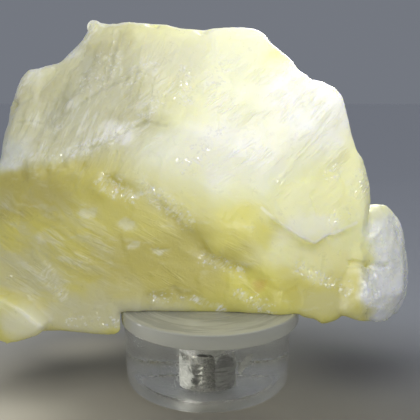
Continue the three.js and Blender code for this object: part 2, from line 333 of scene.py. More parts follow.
stone = {
    "middle": (0.5, 0.1, 32.7),  # mm, the middle of the broad face
    "lean": 79.0,  # degrees, from level to the broad face
    "voxel": 0.37,
    "seatHeight": 15.03,
    "seatReach": 17.45,
    "seatMiddle": (0.5, 0.0),
    "seatFade": (17.2, 19.0),  # mm from the seat's middle, where the breakage starts
    "seatRise": (15.1, 17.5),  # and mm up
    "sharp": 32.0,  # degrees between faces that stay crisp
    "softRidge": 5.0,  # mm, half width of the worn strip along the ridges
    "facetRidge": 2.2,  # and of the faceted one
    "chipSpread": 11.0,
    "lumpSize": 2.6,
    "seamShare": 0.7,
    "bruiseDepth": 0.25,
    "shake": 1 / 0.6,  # mm, how finely the seams waver
}
# inputs of the roughStone tree, mm
roughness = {
    "Blur Steps": 16,
    "Swell Size": 9.0,
    "Swell Height": 0.35,
    "Chip Size": 4.5,
    "Chip Height": 0.13,
    "Facet Size": 1.1,
    "Facet Height": 0.16,
    "Blade Spacing": 1.7,
    "Blade Height": 0.26,
    "Lump Height": 0.5,
    "Grain Size": 1.3,
    "Grain Height": 0.04,
    "Seed": 4.0,
}
bladeWaver = 3.0
# where the stone broke into small bright facets, as (right, up) on the broad face, mm
ridges = [
    ((-37, 6.6), (-22.9, 8.8)), ((-22.9, 8.8), (-14.8, 15.3)), ((-17.5, 5.6), (-10.5, 3.2)),
    ((-10.5, 3.2), (-4.4, -2.6)), ((-4.4, -2.6), (0.9, -8.2)), ((0.9, -8.2), (11.5, -14.1)),
    ((4.6, -14.2), (10.8, -17.8)), ((16.0, -9.8), (25.3, -14.8)), ((-19, 26), (-18.5, 19)),
]
cracks = [((25.8, -9.6), (32.6, -10.4)), ((29.0, -10.2), (30.2, -15.5))]
crackSize = {"width": 0.7, "depth": 0.5}  # mm
# pale knocks: across, up, half width, half height
bruises = [
    (-21.2, -0.5, 2.1, 1.2), (-14.4, -2.5, 2.1, 1.3), (-13.6, -6.2, 1.5, 0.7),
    (-9.0, -7.2, 2.2, 0.6), (-12.5, 2.6, 1.3, 1.0),
]
# the lip, the lobe and the flake keep their edges
crispZones = [
    ((-21, 33, -1), (7, 5, 7)), ((19, -4, 5), (13, 6, 8)),
    ((-33, -19, 8), (9, 7, 12)), ((33, -10, 2), (9, 14, 14)),
]
bladesUpLeft = ((-24, 20, 4), (26, 22, 22))  # centre and radii of the steep blades
bladesLowLeft = ((-34, -8, 4), (24, 15, 22))
bladesRight = ((20, 14, 2), (26, 20, 16))
# where thin blades show, the way they run in degrees, their spacing and height beside the others', and a seed
bladeRuns = [
    (bladesUpLeft, 66, 1.5, 1.3, 1.0), (bladesUpLeft, 62, 0.55, 0.45, 5.0),
    (bladesUpLeft, 36, 1.3, 0.8, 9.0), (bladesLowLeft, -36, 1.5, 0.6, 2.0),
    (bladesLowLeft, -31, 0.8, 0.25, 6.0), (bladesRight, 40, 2.0, 0.40, 3.0),
    (((0, -4, 4), (22, 14, 22)), -36, 2.4, 0.35, 4.0),
]
lobeZone = ((33.5, -12, -4), (8, 14, 20), 0.3)
knobs = [((-21.1, 7.4, 66.3), 1.45)]  # where and how large, mm
# long fine seams on the face: points, half width mm, how dark, how deep
seams = [
    ([(-28.5, 16.4), (-25.3, 17.5), (-22.1, 19.6), (-18.5, 21.8), (-14.6, 23.2), (-12.5, 24.6)],
     0.5, 0.34, 0.22),
    ([(-16.4, 32.3), (-17.1, 28.7), (-17.8, 25.4), (-18.5, 22.9)], 0.6, 0.36, 0.25),
    ([(-34.9, 15.8), (-32.4, 16.0), (-29.2, 15.7)], 0.4, 0.4, 0.15),
    ([(-22.5, 10.6), (-19.1, 11.4), (-17.0, 12.2), (-14.2, 14.0), (-11.4, 15.2), (-7.6, 14.6)],
     0.5, 0.32, 0.2),
    ([(-22.0, 27.4), (-23.4, 23.4), (-25.9, 20.9), (-27.4, 19.1), (-28.4, 16.2)], 2.4, 0.45, 0.3),
]


def facePoint(position):
    # u to the right, v up the broad face, w out of it, in mm
    centred = vector("SUBTRACT", scaled(position, 1 / mm), stone["middle"])
    inputs = {"Vector": centred, "Angle": -math.radians(stone["lean"])}
    return fed("ShaderNodeVectorRotate", inputs, rotation_type="X_AXIS").outputs[0]


def facing(normal):
    # 1 where the surface lies along the broad face
    lean = math.radians(stone["lean"])
    return calc("ABSOLUTE", vector("DOT_PRODUCT", normal, (0, -math.sin(lean), math.cos(lean))))


def nearLine(point, start, end, width):
    # 1 along a line on the broad face, fading to 0 at its width
    flat = vector("SUBTRACT", vector("MULTIPLY", point, (1, 1, 0)), (*start, 0))
    course = (end[0] - start[0], end[1] - start[1], 0)
    share = 1 / (course[0] ** 2 + course[1] ** 2)
    along = calc("MULTIPLY", vector("DOT_PRODUCT", flat, course), share, clamp=True)
    return ramp(vector("DISTANCE", flat, scaled(course, along)), width * 0.3, width, (1.0, 0.0))


def ridgeMask(point, width):
    mask = larger(*(nearLine(point, start, end, width) for start, end in ridges))
    front = ramp(vector("DOT_PRODUCT", point, (0, 0, 1)), 0.0, 2.0)  # the back has none
    return times(mask, front)


def ways(point, degrees):
    # how far a point lies along a direction on the broad face, and across it
    turn = math.radians(degrees)
    return (vector("DOT_PRODUCT", point, (math.cos(turn), math.sin(turn), 0.1)),
            vector("DOT_PRODUCT", point, (-math.sin(turn), math.cos(turn), 0.25)))


def grainwise(point, degrees, lengthwise, crosswise, seed):
    # a stretched point for patterns that run one way
    along, across = ways(point, degrees)
    return joined(times(along, lengthwise), times(across, crosswise), seed)


def jitter(point, size, detail=2.0):
    shift = fed("ShaderNodeTexNoise", {"Vector": point, "Scale": 1 / size, "Detail": detail}).outputs["Color"]
    return vector("SUBTRACT", shift, (0.5, 0.5, 0.5))


def shaken(point, size, amount, detail=2.0):
    # the point moved about by noise
    return vector("ADD", point, scaled(jitter(point, size, detail), amount))


def blades(point, degrees, spacing, seed):
    # long steps: each rises slowly across the blades and drops at once, 0 to 1
    long = grainwise(point, degrees, 0.10, 0.30, seed)
    wander = times(noise(long, 1.0, 2.0), bladeWaver)
    step = calc("FRACT", plus(calc("DIVIDE", ways(point, degrees)[1], spacing), wander))
    rise, fall = calc("DIVIDE", step, 0.8), calc("DIVIDE", minus(1.0, step), 0.2)
    fade = ramp(noise(vector("ADD", long, (7, 3, 1)), 1.0, 1.0), 0.35, 0.6)
    return times(calc("MINIMUM", rise, fall), fade)


def tiltedCells(cell, point, tilt):
    # the height of small planes, each tilted its own way
    return vector("DOT_PRODUCT", vector("SUBTRACT", point, cell["Position"]), tilt)


def chips(point, size):
    cell = cells(point, size, Randomness=0.9)
    return tiltedCells(cell, point, vector("SUBTRACT", cell["Color"], (0.5, 0.5, 0.5)))


calcite = {
    "cream": (0.88, 0.89, 0.60),
    "butter": (0.86, 0.86, 0.44),
    "pale": (0.96, 0.98, 0.90),
    "honey": (0.66, 0.60, 0.13),
    "olive": (0.52, 0.46, 0.13),
    "beige": (0.62, 0.61, 0.46),
    "milk": (0.84, 0.85, 0.74),
    "line": (0.50, 0.47, 0.26),
    "sage": (0.50, 0.50, 0.34),
    "lemon": (0.97, 0.97, 0.62),
    "gold": (0.84, 0.79, 0.16),
    "rust": (0.70, 0.46, 0.12),
    "silver": (0.80, 0.83, 0.80),
    "shell": (0.80, 0.80, 0.62),
    "grey": (0.90, 0.92, 0.89),
    "smoke": (0.44, 0.45, 0.42),
    "white": (0.97, 0.98, 0.95),
    # edge: the colour of the painted light at the lip
    "edge": (1.0, 1.0, 0.86),
}
toneName = "tone"  # the stone's broad colours, kept at its points
# honey below the ridge, with a crisp border at the left that softens to the right: how steep and how high
honeyEdge = {
    "soft": (0.365, -0.4), "firm": (-0.156, -12.4), "width": (1.0, 7.0),  # mm
    "across": (-26.0, -8.0), "deep": (1.0, -6.0), "amount": 0.85,
}
# zones of colour in the order they are laid: centre and radii, how strong, which colour
paleZones = [
    (bladesUpLeft, 0.75, "beige"),
    # the pale and white zones at the upper right are partly the stone's paler tone and partly painted glow
    # where light shines through the thin part
    (((10, 17, 0), (20, 14, 30)), 0.6, "pale"),
    (((20, 20, 0), (14, 13, 30)), 0.95, "white"),
    (((0, 10, 0), (17, 9, 30)), 0.65, "pale"),
    (((28, 8, -2), (8, 12, 12)), 0.6, "lemon"),
    (((-6, 27, 0), (13, 9, 20)), 0.6, "shell"),
    (((7, 33, -2), (13, 4, 12)), 0.75, "shell"),
    (((5, 31, 0), (10, 7, 30)), 0.7, "milk"),
    (((-6, 29, 0), (8, 7, 20)), 0.3, "beige"),
]
honeyZones = [
    (((-10, -11, 4), (20, 9, 30)), 0.55, "olive"),
    (((-34, 3, 4), (14, 7, 30)), 0.75, "olive"),
    (((-20, -19, 4), (20, 6, 30)), 0.7, "beige"),
    # the lemon and edge zones at the lip are partly the plate's paler tone and partly painted light: the glow
    # of the thin plate and its edge, lifting the shade under the lip
    (((18, 1, 5), (10, 8, 30)), 0.8, "lemon"),
    (((17, -8, 5), (12, 6, 30)), 0.7, "lemon"),
    (((18, -3.5, 5), (9, 4, 30)), 0.5, "edge"),
    (((5, -2, 5), (8, 5, 30)), 0.5, "gold"),
    (((8, -12, 5), (7, 4, 30)), 0.6, "gold"),
    (((-37, 10.5, 3), (8, 3.5, 12)), 0.7, "silver"),
    (((-25, 20, 3), (4, 6, 12)), 0.25, "sage"),
    (((-16.5, 13.2, 5), (4, 2.6, 12)), 0.85, "white"),
    (((23, -9, 4), (6, 3.5, 20)), 0.2, "honey"),
    (((-34, -11, 4), (10, 6, 30)), 0.5, "beige"),
    (((22, -17, 4), (8, 5, 30)), 0.35, "beige"),
    (((-34, -20, 8), (8, 6, 10)), 0.6, "milk"),
    # the milk zones at (-33, 25) and (-25, 30) are painted light on the thin, lit rim at the upper left
    (((-33, 25, -1), (6, 4, 8)), 0.5, "milk"),
    (((-34, 18, -1), (7, 9, 10)), 0.35, "beige"),
    (((-17, 32, -1), (8, 5, 10)), 0.35, "beige"),
    (((-25, 30, -1), (4, 6, 8)), 0.5, "milk"),
]
rustSpot = ((9.5, -12.5, 5), (2.2, 1.6, 6), 0.9)
lobeShade = ((33, -0.6, -4), (4.2, 2.6, 10))
tints = {"blades": 0.35, "bruises": 0.45, "rust": 0.5, "drift": 0.4, "lobe": 0.3, "lobeShade": 0.4}


def tinted(point, colour, zones):
    for zone, strength, name in zones:
        colour = blend(times(patch(point, *zone), strength), colour, calcite[name])
    return colour


def honeyMask(point, loose):
    across, up, deep = parts(point)
    lost = parts(loose)
    edge = honeyEdge
    slope = calc("MULTIPLY_ADD", lost[0], edge["soft"][0], plus(lost[1], edge["soft"][1]))
    firm = calc("MULTIPLY_ADD", across, edge["firm"][0], plus(up, edge["firm"][1]))
    soft = larger(ramp(across, *edge["across"]), ramp(deep, *edge["deep"]))
    border = plus(times(slope, soft), times(firm, minus(1.0, soft)))
    width = ramp(soft, 0.0, 1.0, edge["width"])
    below = ramp(calc("DIVIDE", border, width), -1.0, 1.0, (1.0, 0.0))
    return times(below, edge["amount"])


def stoneTone(point):
    loose = shaken(point, 8.3, 9.0)
    ragged = shaken(point, 1.8, 2.6, 4.0)
    clouds = ramp(noise(point, 12.0, 4.0), 0.35, 0.65)
    colour = tinted(loose, blend(clouds, calcite["cream"], calcite["butter"]), paleZones)
    colour = blend(honeyMask(point, loose), colour, calcite["honey"])
    colour = tinted(loose, colour, honeyZones)

    def laid(mask, strength, name):
        return blend(times(mask, strength), colour, calcite[name])

    # the blade tint darkens each step as it rises, like its height: partly the stone's darker lines along the
    # blades, partly painted shade of the steps
    for zone, degrees, spacing, share, seed in bladeRuns:
        tint = blades(point, degrees, roughness["Blade Spacing"] * spacing, seed)
        colour = laid(times(tint, patch(point, *zone)), tints["blades"] * share, "line")
    for across, up, wide, tall in bruises:
        colour = laid(patch(ragged, (across, up, 6), (wide, tall, 6), 0.5), tints["bruises"], "milk")
    colour = laid(patch(loose, *rustSpot), tints["rust"], "rust")
    drift = noise(grainwise(loose, -33, 0.07, 0.42, 3.0), 1.0, 4.0, 0.6)
    drift = times(ramp(drift, 0.45, 0.62), patch(point, *bladesLowLeft))
    colour = laid(drift, tints["drift"], "beige")
    colour = laid(patch(vector("SUBTRACT", loose, (1.0, 0, 0)), *lobeZone), 1.0, "grey")
    wisps = noise(grainwise(shaken(point, 3.0, 3.0), 70, 0.16, 0.5, 8.0), 1.0, 4.0, 0.6)
    wisps = times(ramp(wisps, 0.44, 0.6), patch(point, *lobeZone))
    colour = laid(wisps, tints["lobe"], "smoke")
    return laid(patch(point, *lobeShade), tints["lobeShade"], "smoke")


def inUse(sockets):
    # the socket named Value for the kind of data that the node holds
    return next(socket for socket in sockets if socket.enabled and socket.name == "Value")


def roughStoneTree():
    inputs = [("Geometry", "Geometry", None), ("Material", "Material", None)]
    inputs += [(name, "Int" if name == "Blur Steps" else "Float", value) for name, value in roughness.items()]
    tree, value, result = groupTree("roughStone", "GeometryNodeTree", inputs, [("Geometry", "Geometry")])
    position = put(tree, "GeometryNodeInputPosition").outputs[0]
    normal = put(tree, "GeometryNodeInputNormal").outputs[0]
    point = facePoint(position)

    # the worn parts are softened first
    crisp = ramp(patch(point, *bladesUpLeft), 0.0, 1.0, (0.6, 0.9))
    crisp = larger(crisp, *(times(patch(point, *zone), 0.95) for zone in crispZones))
    crisp = minus(crisp, times(ridgeMask(point, stone["softRidge"]), 0.9), clamp=True)
    crisp = larger(crisp, ramp(facing(normal), 0.45, 0.8, (0.9, 0.0)))
    inputs = {"Iterations": value["Blur Steps"], "Weight": minus(1.0, crisp)}
    blur = fed("GeometryNodeBlurAttribute", inputs, data_type="FLOAT_VECTOR")
    tree.links.new(position, inUse(blur.inputs))
    inputs = {"Geometry": value["Geometry"], "Position": inUse(blur.outputs)}
    softened = fed("GeometryNodeSetPosition", inputs).outputs[0]

    moved = vector("ADD", point, joined(value["Seed"], 3.0, 5.0))
    skewed = vector("MULTIPLY", moved, (1.0, 0.6, 1.0))
    swell = minus(noise(moved, value["Swell Size"], 0.0), 0.5)
    chipped = ramp(noise(moved, stone["chipSpread"], 2.0), 0.42, 0.62)
    chipped = ramp(chipped, 0.0, 1.0, (0.15, 0.6))
    facets = chips(vector("ADD", skewed, (5, 5, 5)), value["Facet Size"])
    grain = minus(noise(moved, value["Grain Size"], 4.0, 0.6), 0.5)
    lumps = times(noise(moved, stone["lumpSize"], 1.0), patch(point, *lobeZone))
    raised = [
        times(swell, times(value["Swell Height"], 2.0)),
        times(chips(skewed, value["Chip Size"]), value["Chip Height"], chipped),
        times(facets, value["Facet Height"], ridgeMask(point, stone["facetRidge"])),
    ]
    for zone, degrees, spacing, share, seed in bladeRuns:
        rise = blades(point, degrees, times(value["Blade Spacing"], spacing), seed)
        raised.append(times(rise, patch(point, *zone), share, value["Blade Height"]))
    raised += [times(grain, value["Grain Height"]), times(lumps, value["Lump Height"])]

    shaky = vector("ADD", point, jitter(moved, stone["shake"]))
    sunk = [times(nearLine(shaky, start, end, crackSize["width"]), crackSize["depth"])
            for start, end in cracks]
    sunk += [times(nearLine(shaky, start, end, width), deep * stone["seamShare"])
             for places, width, dark, deep in seams for start, end in zip(places, places[1:])]
    sunk += [times(patch(point, (across, up, 6), (wide, tall, 6), 0.9), stone["bruiseDepth"])
             for across, up, wide, tall in bruises]
    height = minus(plus(*raised), plus(*sunk))

    # nothing is raised near the seat
    across, deep, up = parts(position)
    seatMiddle = (*metres(stone["seatMiddle"]), 0)
    reach = vector("DISTANCE", joined(across, deep), seatMiddle)
    free = larger(ramp(reach, *metres(stone["seatFade"])), ramp(up, *metres(stone["seatRise"])))
    offset = scaled(normal, times(height, free, mm))
    for middle, radius in knobs:
        away = vector("SUBTRACT", position, metres(middle))
        push = larger(minus(radius * mm, vector("LENGTH", away)), 0.0)
        offset = vector("ADD", offset, scaled(vector("NORMALIZE", away), push))
    shaped = fed("GeometryNodeSetPosition", {"Geometry": softened, "Offset": offset}).outputs[0]

    inputs = {"Geometry": shaped, "Name": toneName}
    painted = fed("GeometryNodeStoreNamedAttribute", inputs, data_type="FLOAT_COLOR", domain="POINT")
    tree.links.new(stoneTone(point), inUse(painted.inputs))
    real = fed("GeometryNodeRealizeInstances", {"Geometry": painted.outputs[0]}).outputs[0]
    done = fed("GeometryNodeSetMaterial", {"Geometry": real, "Material": value["Material"]}).outputs[0]
    tree.links.new(done, result.inputs[0])
    return tree


def setInputs(modifier, tree, values):
    for item in tree.interface.items_tree:
        if item.item_type == "SOCKET" and item.in_out == "INPUT" and item.name in values:
            modifier[item.identifier] = values[item.name]


def copyOfNode(name):
    # the node's triangles are loose, so their corners are merged
    mesh = bpy.data.meshes.new(name + "Copy")
    work = bmesh.new()
    work.from_mesh(nodes[name].data)
    bmesh.ops.remove_doubles(work, verts=work.verts, dist=1e-7)
    work.to_mesh(mesh)
    work.free()
    return mesh


def evaluatedMesh(piece):
    bpy.context.view_layer.update()
    ready = piece.evaluated_get(bpy.context.evaluated_depsgraph_get())
    mesh = bpy.data.meshes.new_from_object(ready)
    bpy.data.objects.remove(piece)
    return mesh


def stoneMesh(material):
    draft = added("stoneDraft", copyOfNode("calcite"))
    remesh = draft.modifiers.new("even", "REMESH")
    remesh.mode = "VOXEL"
    remesh.voxel_size = stone["voxel"] * mm
    rough = draft.modifiers.new("rough", "NODES")
    rough.node_group = roughStoneTree()
    setInputs(rough, rough.node_group, {**roughness, "Material": material})
    mesh = evaluatedMesh(draft)
    mesh.name = "stone"
    level, reach = stone["seatHeight"] * mm, stone["seatReach"] * mm
    across, deep = metres(stone["seatMiddle"])
    for vertex in mesh.vertices:
        if vertex.co.z < level and math.hypot(vertex.co.x - across, vertex.co.y - deep) < reach:
            vertex.co.z = level
    return smoothed(mesh, stone["sharp"])


# clusters of tiny bright faces: from, to, half width, mm
glints = [
    ((-21.4, 27.2), (-18.3, 28.3), 0.5), ((-22.0, 22.0), (-17.6, 25.9), 1.6),
    ((-14.7, 22.6), (-10.4, 25.8), 1.1), ((-11.2, 17.1), (-8.4, 19.8), 0.9),
    ((-28.4, 14.4), (-26.6, 14.9), 0.7), ((-26.6, 9.8), (-21.4, 11.2), 0.9),
    ((-18.4, 12.0), (-14.2, 14.6), 1.1), ((-18.0, 4.5), (-14.2, 2.4), 1.1), ((-11.1, 3.6), (-3.8, -2.1), 1.1),
    ((-0.7, -8.5), (5.3, -10.6), 0.9), ((16.2, -10.4), (25.2, -14.4), 0.9), ((5.4, -14.9), (10.4, -17.8), 0.9),
    ((-3.8, 7.6), (-1.4, 10.7), 1.3), ((-4.6, 23.9), (-4.6, 19.6), 1.3), ((21.4, 6.1), (22.8, 7.1), 0.9),
    ((22.1, -1.8), (25.3, -0.4), 0.9), ((0.4, 21.8), (2.5, 25.7), 1.3), ((29.6, -11.5), (33.3, -16.3), 1.3),
    ((-28.4, -14.4), (-26.3, -15.8), 0.7), ((-25.4, -20.3), (-17.1, -20.5), 0.7),
    ((-10.4, -15.7), (-5.0, -16.0), 0.7), ((0.3, 13.5), (2.8, 14.6), 0.7), ((27.8, 6.3), (28.9, 4.1), 0.9),
]
# white chipped stretches of the edges: from, to, half width, how white
whiteChips = [
    ((-37.5, 8.4), (-30, 9.2), 1.5, 0.5), ((-26, 9.8), (-21.4, 11.0), 1.8, 0.6),
    ((-19.4, 11.6), (-14.2, 14.8), 1.7, 1.0), ((-18.2, 4.6), (-14.2, 2.6), 1.8, 0.35),
    ((-11.1, 3.6), (-3.8, -2.1), 1.8, 0.35), ((-3, -15.9), (2.2, -18.2), 1.0, 0.8),
    ((-0.7, -8.5), (5.3, -10.6), 1.2, 0.25), ((16.2, -10.4), (25.2, -14.4), 1.2, 0.25),
    ((5.4, -14.9), (10.4, -17.8), 1.0, 0.25), ((-30, -11), (-27, -15), 2.4, 0.4),
    ((-25, 29), (-21.5, 33), 1.6, 0.7), ((-35, 22), (-32, 26), 1.6, 0.7),
]
# a pale edge along the lip: painted light of the thin plate's lit edge
paintedLipLight = [(9.0, 0.4), (11.3, -1.7), (15.7, -4.5), (18.5, -5.8), (20.1, -4.8), (23.6, -3.6), (26.6, -2.3)]
lipWidth = 0.42
# the finest lines: where, which way they run, how strong
fineRuns = [
    (bladesUpLeft, 62, 0.8), (bladesLowLeft, -33, 0.5),
    (bladesRight, 40, 1.0), (((0, -6, 4), (24, 14, 30)), -30, 0.4),
]
paleRuns = [
    (((0, 16, 4), (22, 15, 30)), 37, 1.0), (bladesLowLeft, -28, 0.5),
    (((-27, 16, 4), (13, 11, 22)), 68, 0.8),
]
paintedRimLightZone = ((-20, 20, 0), (26, 24, 6), 0.3)  # the thin edges at the upper left, painted lighter: painted light through the thin rim
flake = {
    "size": 0.34, "tilt": 1.0, "lean": (0.0, -0.15, 0.0),  # the small faces tip up towards the lamps
    "turned": (0.40, 0.46),  # the share that is turned to shine
    # which small faces are painted white, and how white: painted glints
    "white": (0.78, 0.82), "paintedGlintWhiteness": (0.10, 0.60),
    "spread": 2.2,  # times a cluster's half width
}
skin = {
    "veil": 0.2, "thin": 0.55, "lip": 0.5, "lines": 0.18, "pale": 0.4, "scatteredFlakes": 0.6,
    "rough": (0.36, 0.52), "lobePolish": 0.16, "lobeCoat": 0.08,
    "lineHeight": 0.2, "fineHeight": 0.08, "bump": 0.6,
    "ior": 1.6, "depth": 9.0,  # mm that light travels under the surface
    "milky": 0.78, "travel": (1.0, 0.94, 0.45), "coatRough": 0.12, "coatIor": 1.9,
}
bodyFinish = {"clear": 0.0}
lobeFinish = {"clear": 0.17, "from": 28.0, "wander": 1.6, "detail": 0.35}  # where it starts to the right, mm


def fineLines(point, runs):
    masks = []
    for zone, degrees, strength in runs:
        long = grainwise(point, degrees, 0.14, 0.8, degrees)
        run = ramp(noise(long, 1.0, 3.0, 0.65, 0.4), 0.45, 0.62)
        some = ramp(noise(vector("ADD", point, (0, 0, degrees)), 6.0, 1.0), 0.45, 0.6)
        masks.append(times(run, some, patch(point, *zone), strength))
    return larger(*masks)


def calciteSkinGroup():
    # what the stone and its clearer lobe share: veil, seams, chips, fine lines and where it glints
    tree, given, result = groupTree(
        "calciteSkin", "ShaderNodeTree",
        [("Vector", "Vector", None), ("Normal", "Vector", None), ("Tone", "Color", None),
         ("Flake Shade", "Float", 0.0), ("Veil", "Float", skin["veil"]), ("Lines", "Float", skin["lines"]),
         ("Pale Lines", "Float", skin["pale"]), ("Lip", "Float", skin["lip"])],
        [("Color", "Color"), ("Roughness", "Float"), ("Glint", "Float"), ("Height", "Float")])
    point = given["Vector"]
    slightly = shaken(point, 1.7, 1.0)
    ragged = shaken(point, 1.4, 2.6, 4.0)
    glassy = patch(point, *lobeZone)

    veil = noise(vector("MULTIPLY", point, (1.0, 2.4, 1.0)), 4.0, 5.0, 0.6)
    veil = times(ramp(veil, 0.55, 0.75), given["Veil"])
    colour = blend(veil, given["Tone"], calcite["milk"])
    seamed = [times(nearLine(slightly, start, end, width), dark)
              for places, width, dark, deep in seams for start, end in zip(places, places[1:])]
    colour = blend(larger(*seamed), colour, calcite["sage"])
    chipped = [times(nearLine(ragged, start, end, width), amount)
               for start, end, width, amount in whiteChips]
    broken = noise(grainwise(slightly, 50, 0.35, 1.7, 2.0), 1.0, 4.0, 0.6)
    broken = times(ramp(broken, 0.42, 0.60, (0.12, 1.0)),
                   ramp(noise(point, 3.2, 2.0), 0.35, 0.58, (0.3, 1.0)))
    colour = blend(times(larger(*chipped), broken), colour, calcite["white"])
    # the lip's edge is painted pale: painted light
    lip = [nearLine(point, start, end, lipWidth) for start, end in zip(paintedLipLight, paintedLipLight[1:])]
    colour = blend(times(larger(*lip), given["Lip"]), colour, calcite["edge"])
    # sideways-facing thin edges are painted whiter: painted light through the thin rim
    thin = ramp(facing(given["Normal"]), 0.3, 0.85, (1.0, 0.0))
    thin = times(thin, patch(point, *paintedRimLightZone), skin["thin"])
    colour = blend(thin, colour, calcite["white"])
    lines = fineLines(point, fineRuns)
    colour = blend(times(lines, given["Lines"]), colour, calcite["line"])
    pale = fineLines(point, paleRuns)
    colour = blend(times(pale, given["Pale Lines"]), colour, calcite["white"])

    # only some of the tiny faces are turned to shine
    shade = given["Flake Shade"]
    glinting = larger(*(nearLine(ragged, start, end, width * flake["spread"])
                        for start, end, width in glints))
    glinting = times(glinting, ramp(noise(point, 0.9, 2.0), 0.44, 0.58))
    # some of the glinting faces are painted white: painted glints
    paintedBright = ramp(shade, *flake["white"], flake["paintedGlintWhiteness"])
    colour = blend(times(glinting, paintedBright), colour, calcite["white"])
    scattered = ramp(noise(point, 2.2, 3.0, 0.7), 0.58, 0.68)
    sparkling = larger(glinting, times(scattered, skin["scatteredFlakes"]))
    sparkling = times(sparkling, ramp(shade, *flake["turned"]))

    rough = ramp(noise(point, 3.0, 4.0, 0.6), 0.35, 0.7, skin["rough"])
    fine = times(noise(point, 0.55, 3.0, 0.6), skin["fineHeight"])
    height = plus(times(lines, skin["lineHeight"]), fine, times(pale, skin["lineHeight"]))
    plug(result, {
        "Color": colour,
        "Roughness": minus(rough, times(glassy, skin["lobePolish"])),
        "Glint": larger(sparkling, times(glassy, skin["lobeCoat"])),
        "Height": height,
    })
    return tree


calciteSkin = calciteSkinGroup()


def calciteMaterial(name, finish):
    material, tree, shader = newMaterial(name)
    place = put(tree, "ShaderNodeTexCoord").outputs
    point = facePoint(place["Object"])
    # small flat flakes, each tilted its own way, give the coat its own normal
    cell = cells(point, flake["size"])
    tilt = scaled(vector("SUBTRACT", cell["Color"], (0.5, 0.5, 0.5)), flake["tilt"])
    flakes = tiltedCells(cell, point, vector("ADD", tilt, flake["lean"]))
    worn = fed("ShaderNodeGroup", {
        "Vector": point,
        "Normal": place["Normal"],
        "Tone": put(tree, "ShaderNodeAttribute", attribute_name=toneName).outputs["Color"],
        "Flake Shade": fed("ShaderNodeSeparateColor", {0: cell["Color"]}).outputs[0],
    }, node_tree=calciteSkin).outputs
    plug(shader, {
        "Base Color": worn["Color"],
        "Roughness": worn["Roughness"],
        "Normal": bumped(worn["Height"], skin["bump"]),
        "Coat Weight": worn["Glint"],
        "Coat Normal": bumped(flakes, 1.0),
        "Coat Roughness": skin["coatRough"],
        "Coat IOR": skin["coatIor"],
        "IOR": skin["ior"],
        "Transmission Weight": finish["clear"],
        "Subsurface Weight": skin["milky"],
        "Subsurface Radius": skin["travel"],
        "Subsurface Scale": skin["depth"] * mm,
    })
    return material


def clearLobe(mesh, material):
    # the faces of the grey lobe take the clearer material
    mesh.materials.append(material)
    for face in mesh.polygons:
        place = face.center / mm
        across = place.x - stone["middle"][0] - lobeFinish["from"]
        edge = lobeFinish["wander"] * noiseAt(place * lobeFinish["detail"])
        if across > max(edge, -lobeFinish["wander"]):
            face.material_index = 1


disc = {
    "middle": (0.5, 0.0), "radius": 17.0, "low": 12.24, "high": 15.0, "edge": 0.32,
    # fine rings in the underside
    "turned": (8.6, 12.4, 14.2, 15.6), "turnedWidth": 0.35, "turnedDepth": 0.12,
}
base = {
    "radius": 16.0, "waist": (15.85, 6.0), "foot": 15.6, "height": 12.2, "edge": 0.35, "footEdge": 0.9,
    "mouth": 4.8, "mouthEdge": 0.15, "pocket": 3.5, "coneFoot": 7.0, "coneEdge": (0.02, 0.1), "floor": 0.6,
    "ring": 8.4, "ringWidth": 0.5, "ringDepth": 0.22,  # a turned groove in the underside
}
turning = {"steps": 160, "sharp": 40}


def corner(middle, radius, start, end, steps=5):
    # a rounded corner of a profile, in degrees
    angles = [math.radians(start + (end - start) * i / steps) for i in range(steps + 1)]
    return [(middle[0] + radius * math.cos(a), middle[1] + radius * math.sin(a)) for a in angles]


def joinRings(work, rings, steps):
    # an end that is one point takes triangles
    for one, two in zip(rings, rings[1:]):
        for i in range(steps):
            quad = [one[i % len(one)], one[(i + 1) % len(one)], two[(i + 1) % len(two)], two[i % len(two)]]
            work.faces.new(list(dict.fromkeys(quad)))


def turned(name, profile, middle=(0.0, 0.0)):
    # spins a profile of (radius, height) in mm, which starts and ends on the axis
    work = bmesh.new()
    steps = turning["steps"]
    angles = [2 * math.pi * i / steps for i in range(steps)]
    rings = []
    for radius, height in profile:
        spots = [(radius * math.cos(a), radius * math.sin(a)) for a in angles] if radius else [(0.0, 0.0)]
        rings.append([work.verts.new(metres((middle[0] + x, middle[1] + y, height))) for x, y in spots])
    joinRings(work, rings, steps)
    return finished(work, name, turning["sharp"])


def discMesh():
    r, low, high, e = disc["radius"], disc["low"], disc["high"], disc["edge"]
    wide, deep = disc["turnedWidth"], disc["turnedDepth"]
    profile = [(0, low), (r * 0.4, low)]
    for ring in disc["turned"]:
        profile += [(ring - wide, low), (ring, low + deep), (ring + wide, low)]
    profile += corner((r - e, low + e), e, -90, 0) + corner((r - e, high - e), e, 0, 90)
    profile += [(r * 0.5, high), (0, high)]
    return turned("stand_disc_clear", profile, disc["middle"])


def baseMesh():
    b = base
    ring, wide = b["ring"], b["ringWidth"]
    profile = [(0, 0), (ring - wide, 0), (ring, b["ringDepth"]), (ring + wide, 0)]
    profile += corner((b["foot"] - b["footEdge"], b["footEdge"]), b["footEdge"], -90, 0, 8)
    profile += [b["waist"]]
    profile += corner((b["radius"] - b["edge"], b["height"] - b["edge"]), b["edge"], 0, 90)
    out, down = b["coneEdge"]
    profile += [(b["mouth"] + b["mouthEdge"], b["height"]), (b["mouth"], b["height"] - b["mouthEdge"]),
                (b["pocket"] + out, b["coneFoot"]), (b["pocket"], b["coneFoot"] - down),
                (b["pocket"], b["floor"]), (0, b["floor"])]
    return turned("stand_base_clear", profile)


acrylic = {
    "ior": 1.49, "rough": 0.02, "marks": 0.12, "scratch": 0.02, "lathe": 0.05, "bump": 0.35,
    "spacing": 3.0, "dust": 1.6,  # mm, between scratches and across specks
}
